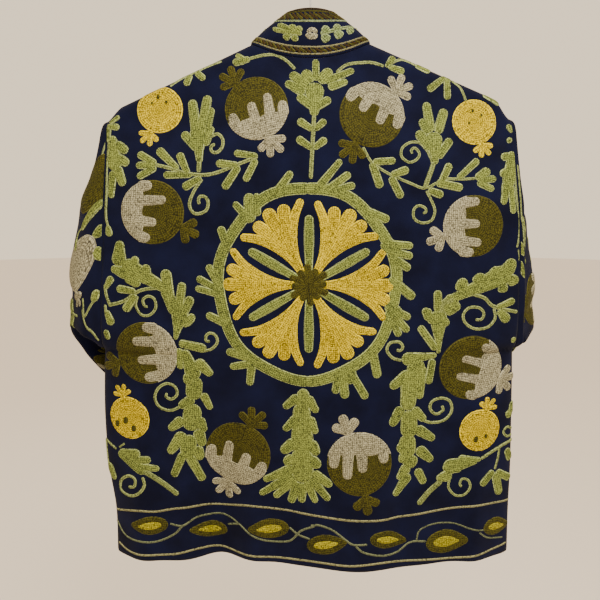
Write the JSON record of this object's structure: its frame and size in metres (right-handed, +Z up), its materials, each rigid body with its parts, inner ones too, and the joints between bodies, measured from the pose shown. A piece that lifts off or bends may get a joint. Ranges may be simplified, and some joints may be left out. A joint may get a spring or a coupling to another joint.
{
  "type": "stand-collar jacket on a clothes hanger",
  "caption": "Boxy open-front jacket with a stand collar, dropped shoulders and wide forward-turned sleeves, hanging on a wooden hanger with a wire hook.",
  "frame": {"origin": "inner top of the hanger's hook, where the rod carries it", "axes": "+Z up along the hanging line, -Y out of the jacket's front, +Y out of its embroidered back, +X to the wearer's left"},
  "size_m": [0.6164, 0.2692, 0.7915],
  "materials": {
    "navy_cotton": "matte",
    "hanger_wood": "satin",
    "hook_steel": "polished"
  },
  "bodies": {
    "root": {"back_panel": "navy_cotton", "front_panel_left": "navy_cotton", "front_panel_right": "navy_cotton", "sleeve_left": "navy_cotton", "sleeve_right": "navy_cotton", "stand_collar": "navy_cotton", "hanger_arms": "hanger_wood", "hanger_hook": "hook_steel"}
  },
  "joints": []
}
